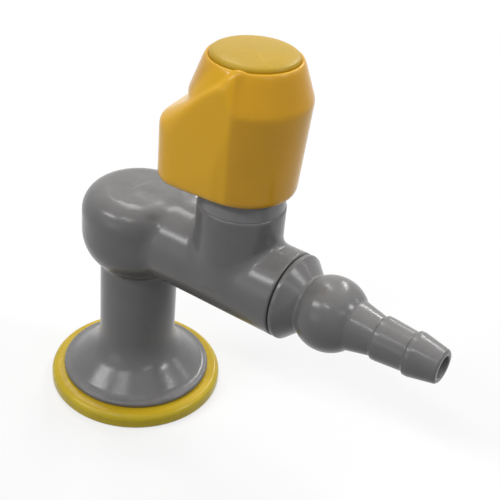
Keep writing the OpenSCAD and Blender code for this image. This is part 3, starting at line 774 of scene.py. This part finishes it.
def plated_steel():
    """Steel of the spring and the fixings."""
    return finish(
        "plated_steel", bpy.context.scene.tap_colours.steel, light=1.05, dark=0.9, rough=(0.2, 0.32), mottle=180.0,
        skin=METAL_SKIN, bump=(0.25, 0.00002), metallic=1.0)


def polished_plate():
    """Polished plating of the ball."""
    return finish(
        "polished_plate", bpy.context.scene.tap_colours.steel, light=1.1, dark=1.0, rough=(0.06, 0.12), mottle=180.0,
        skin=POLISHED_SKIN, bump=(0.1, 0.00001), metallic=1.0)


def dress(node, material, angle=30):
    """Gives a CAD node a material and soft shading below an angle."""
    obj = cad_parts[node]
    obj.data.materials.clear()
    obj.data.materials.append(material)
    obj.data.polygons.foreach_set("use_smooth", np.ones(len(obj.data.polygons), bool))
    obj.data.set_sharp_from_angle(angle=math.radians(angle))


# Operators for the pieces


class TAP_OT_casting(bpy.types.Operator):
    """Coated casting: foot, column, head, arm and boss with cast fillets"""

    bl_idname = "tap.casting"
    bl_label = "Casting"

    def execute(self, context):
        sizes = context.scene.tap_sizes
        cell = sizes.cell / MM
        low, high = box_round("body", cell, CASTING_MARGIN, CASTING_SHIFT)
        _, grid = grid_of(low, high, cell)
        points, quads = surface_of(casting_field(grid, sizes), low, cell)
        points = settle(points, lambda p: casting_field(p, sizes), cell)
        piece = mesh_piece("coated_casting", points, quads, grey_coat())
        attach(piece, "root")
        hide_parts("body")
        return {"FINISHED"}


class TAP_OT_nozzle(bpy.types.Operator):
    """Turned hose nozzle: shoulder, ball form and two barbs, under the same coat"""

    bl_idname = "tap.nozzle"
    bl_label = "Hose nozzle"

    def execute(self, context):
        steps = context.scene.tap_sizes.lathe_steps
        outline = rounded([*NOZZLE_SHOULDER, *arc(**NOZZLE_BALL), *NOZZLE_TAIL])
        piece = turned("hose_nozzle", outline, (ARM_END, 0, ARM_Z), "X", steps, grey_coat())
        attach(piece, "root")
        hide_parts("nozzle")
        return {"FINISHED"}


class TAP_OT_colour_ring(bpy.types.Operator):
    """Yellow ring under the foot"""

    bl_idname = "tap.colour_ring"
    bl_label = "Colour ring"

    def execute(self, context):
        dress("colour_ring", ring_plastic())
        return {"FINISHED"}


class TAP_OT_bonnet(bpy.types.Operator):
    """Screwed bonnet, whose collar shows under the knob"""

    bl_idname = "tap.bonnet"
    bl_label = "Bonnet"

    def execute(self, context):
        dress("bonnet", collar_coat())
        return {"FINISHED"}


class TAP_OT_knob(bpy.types.Operator):
    """Moulded knob with its beak, and the cap in its top"""

    bl_idname = "tap.knob"
    bl_label = "Knob"

    def execute(self, context):
        sizes = context.scene.tap_sizes
        cell = sizes.cell / MM
        low, high = box_round("handle", cell, KNOB_MARGIN)
        values = field_of_solid(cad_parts["handle"], low, high, cell, KNOB_FIELD_REACH)
        values = self.shaped(values, grid_of(low, high, cell)[1])
        values = soften(values, cell, sizes.knob_softness / MM)
        points, quads = surface_of(values, low, cell)
        points = settle(points, sampled(values, low, cell), cell, rounds=1)
        piece = mesh_piece("knob_moulding", points, quads, knob_plastic())
        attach(piece, "pressing")
        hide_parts("handle")
        self.cap(context)
        return {"FINISHED"}

    def shaped(self, values, grid):
        """Adds the lip round the cap and the ridge up to it, and cuts the beak's flank flat."""
        about = grid - np.array((KNOB_X, 0, 0), np.float32)
        x, y, z = about[..., 0], about[..., 1], about[..., 2]
        radial = np.hypot(x, y)
        lip = radial - LIP["radius"] + LIP["slope"] * (z - LIP["height"])
        for limit in (LIP["bore"] - radial, LIP["low"] - z, z - LIP["high"]):
            lip = np.maximum(lip, limit)
        flank = x * math.cos(FLANK_WAY) + y * math.sin(FLANK_WAY) - FLANK_REACH
        return np.maximum(np.minimum(np.minimum(values, lip), hull_field(about, RIDGE)), flank)

    def cap(self, context):
        """Domed cap with a soft edge and its snap ring below."""
        steps = context.scene.tap_sizes.lathe_steps
        piece = turned("knob_cap", rounded(CAP_OUTLINE), (KNOB_X, 0, 0), "Z", steps, cap_plastic())
        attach(piece, "pressing")
        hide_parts("index_cap")


class TAP_OT_inner_pieces(bpy.types.Operator):
    """Finishes of the valve, seals, spring and fixings inside"""

    bl_idname = "tap.inner_pieces"
    bl_label = "Inner pieces"

    def execute(self, context):
        finishes = {
            black_rubber: ("base_gasket", "nozzle_seal", "stem_seals", "bonnet_seal"),
            white_ptfe: ("seat_inner", "seat_outer", "thrust_washer", "gland_washer"),
            turned_brass: ("seat_retainer", "stem", "handle_insert"),
            plated_steel: ("stem_clip", "spring_seat", "return_spring", "stop_pin", "stop_washer", "handle_screw"),
            polished_plate: ("ball",),
        }
        for make, nodes in finishes.items():
            for node in nodes:
                dress(node, make())
        return {"FINISHED"}


# Stage: lengths in metres, lamps as (name, start, end, width, power in watts)

FLOOR_HALF = 6.0
FLOOR_GAP = 0.00003  # keeps the floor just clear of the underside
FLOOR_SHOWN = (0.95, 0.95, 0.95)  # colour that the camera, glossy and transmission rays see
FLOOR_GLOW = 0.68  # share of plain white that the same rays see
FLOOR_ROUGHNESS = 0.9
AIM = (0.04, 0, 0.06)  # what the lamps face
LAMPS = (
    ("overhead", (0.0, -1.0, 1.5), (0.0, 1.2, 1.5), 2.2, 9.0),
    ("tube_left_back", (-0.9, 0.8, 1.3), (-0.32, 0.27, 1.3), 0.2, 4.6),
    ("tube_left", (-1.25, -1.2, 1.3), (-0.5, -1.25, 1.3), 0.18, 10.5),
    ("tube_front", (-0.2, -0.97, 1.3), (0.35, -0.97, 1.3), 0.1, 3.6),
    ("tube_right_front", (1.3, -0.75, 1.3), (2.0, -0.5, 1.3), 0.1, 2.4),
    ("tube_right", (1.7, 0.5, 1.45), (2.1, 0.9, 1.45), 0.2, 13.5),
    ("tube_right_back", (1.5, 1.9, 1.3), (2.0, 2.3, 1.3), 0.1, 4.0),
    ("tube_back", (0.25, 1.1, 1.3), (-0.3, 2.2, 1.3), 0.1, 12.0),
    ("low_front", (-0.75, -1.3, 0.35), (0.0, -1.5, 0.35), 0.6, 1.8),
)
SENSOR_WIDTH = 36.0  # millimetres
CLIP = (0.01, 50.0)


class TAP_OT_stage(bpy.types.Operator):
    """Pale floor, soft studio lights and the camera"""

    bl_idname = "tap.stage"
    bl_label = "Stage"

    def execute(self, context):
        self.floor(context)
        self.world(context)
        for lamp in LAMPS:
            self.lamp(context, *lamp)
        self.camera(context)
        context.scene.view_settings.view_transform = "Standard"
        return {"FINISHED"}

    def floor(self, context):
        """Plain floor, near white to the background rays, which still shows the shadow."""
        corners = [(x * FLOOR_HALF, y * FLOOR_HALF, -FLOOR_GAP) for x, y in ((-1, -1), (1, -1), (1, 1), (-1, 1))]
        mesh = bpy.data.meshes.new("floor")
        mesh.from_pydata(corners, [], [(0, 1, 2, 3)])
        obj = bpy.data.objects.new("floor", mesh)
        context.scene.collection.objects.link(obj)
        material = bpy.data.materials.new("floor")
        material.use_nodes = True
        tree = material.node_tree
        seen = self.seen(tree)
        shader = tree.nodes["Principled BSDF"]
        shader.inputs["Roughness"].default_value = FLOOR_ROUGHNESS
        shader.inputs["Specular IOR Level"].default_value = 0.0
        shown = mix_colour(tree, seen, shade(context.scene.tap_colours.floor, 1), shade(FLOOR_SHOWN, 1))
        feed(tree, shown, shader.inputs["Base Color"])
        glow = add_node(tree, "ShaderNodeEmission", in_Color=(1, 1, 1, 1), in_Strength=1.0)
        share = calculate(tree, "MULTIPLY", seen, FLOOR_GLOW)
        self.show(tree, share, shader, glow, tree.nodes["Material Output"])
        mesh.materials.append(material)

    def world(self, context):
        """Weak even light, and plain white for the background rays."""
        world = bpy.data.worlds.new("studio")
        context.scene.world = world
        world.use_nodes = True
        tree = world.node_tree
        even = tree.nodes["Background"]
        even.inputs["Color"].default_value = (1, 1, 1, 1)
        even.inputs["Strength"].default_value = context.scene.tap_stage.world_level
        white = add_node(tree, "ShaderNodeBackground", in_Color=(1, 1, 1, 1), in_Strength=1.0)
        self.show(tree, self.seen(tree), even, white, tree.nodes["World Output"])

    def seen(self, tree):
        """1 for the rays that show the background: camera, glossy and transmission rays."""
        path = add_node(tree, "ShaderNodeLightPath").outputs
        seen = calculate(tree, "MAXIMUM", path["Is Camera Ray"], path["Is Glossy Ray"])
        return calculate(tree, "MAXIMUM", seen, path["Is Transmission Ray"])

    def show(self, tree, share, plain, bright, output):
        """Mixes two shaders by a share, on a material's or a world's surface."""
        mix = add_node(tree, "ShaderNodeMixShader")
        for index, source in enumerate((share, plain.outputs[0], bright.outputs[0])):
            feed(tree, source, mix.inputs[index])
        feed(tree, mix.outputs[0], output.inputs["Surface"])

    def lamp(self, context, name, start, end, width, power):
        """Flat lamp between two points, of a width, that faces the object."""
        start, end = Vector(start), Vector(end)
        place = (start + end) / 2
        facing = (place - Vector(AIM)).normalized()
        side = facing.cross((end - start).normalized()).normalized()
        data = bpy.data.lights.new(name, "AREA")
        data.shape = "RECTANGLE"
        data.size, data.size_y = (end - start).length, width
        data.energy = power
        lamp = bpy.data.objects.new(name, data)
        turn = Matrix((side.cross(facing), side, facing)).transposed().to_4x4()
        lamp.matrix_world = Matrix.Translation(place) @ turn
        context.scene.collection.objects.link(lamp)

    def camera(self, context):
        """Camera at the photograph's viewing angle."""
        stage = context.scene.tap_stage
        a, e, roll = stage.azimuth, stage.elevation, stage.roll
        back = Vector((math.sin(a) * math.cos(e), -math.cos(a) * math.cos(e), math.sin(e)))
        level = Vector((math.cos(a), math.sin(a), 0))
        up = back.cross(level)
        right = math.cos(roll) * level + math.sin(roll) * up
        top = -math.sin(roll) * level + math.cos(roll) * up
        data = bpy.data.cameras.new("camera")
        data.sensor_width = SENSOR_WIDTH
        data.lens = stage.lens
        data.clip_start, data.clip_end = CLIP
        camera = bpy.data.objects.new("camera", data)
        turn = Matrix((right, top, back)).transposed().to_4x4()
        camera.matrix_world = Matrix.Translation(stage.position) @ turn
        context.scene.collection.objects.link(camera)
        context.scene.camera = camera


# Panel and registration


class TAP_PT_panel(bpy.types.Panel):
    """Sizes, colours and the operators in their order"""

    bl_idname = "TAP_PT_panel"
    bl_label = "Gas tap"
    bl_space_type = "VIEW_3D"
    bl_region_type = "UI"
    bl_category = "Gas tap"

    def draw(self, context):
        scene = context.scene
        for group in (scene.tap_sizes, scene.tap_colours, scene.tap_stage):
            for key in group.__annotations__:
                self.layout.prop(group, key)
        for operator in OPERATORS:
            self.layout.operator(operator.bl_idname)


OPERATORS = (
    TAP_OT_casting, TAP_OT_nozzle, TAP_OT_colour_ring, TAP_OT_bonnet, TAP_OT_knob, TAP_OT_inner_pieces, TAP_OT_stage)
CLASSES = (TapSizes, TapColours, TapStage, *OPERATORS, TAP_PT_panel)


def register():
    for item in CLASSES:
        bpy.utils.register_class(item)
    bpy.types.Scene.tap_sizes = bpy.props.PointerProperty(type=TapSizes)
    bpy.types.Scene.tap_colours = bpy.props.PointerProperty(type=TapColours)
    bpy.types.Scene.tap_stage = bpy.props.PointerProperty(type=TapStage)


def unregister():
    del bpy.types.Scene.tap_stage
    del bpy.types.Scene.tap_colours
    del bpy.types.Scene.tap_sizes
    for item in reversed(CLASSES):
        bpy.utils.unregister_class(item)


def main():
    """Registers the add-on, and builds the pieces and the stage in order."""
    register()
    bpy.ops.tap.casting()
    bpy.ops.tap.nozzle()
    bpy.ops.tap.colour_ring()
    bpy.ops.tap.bonnet()
    bpy.ops.tap.knob()
    bpy.ops.tap.inner_pieces()
    bpy.ops.tap.stage()


if __name__ == "__main__":
    main()
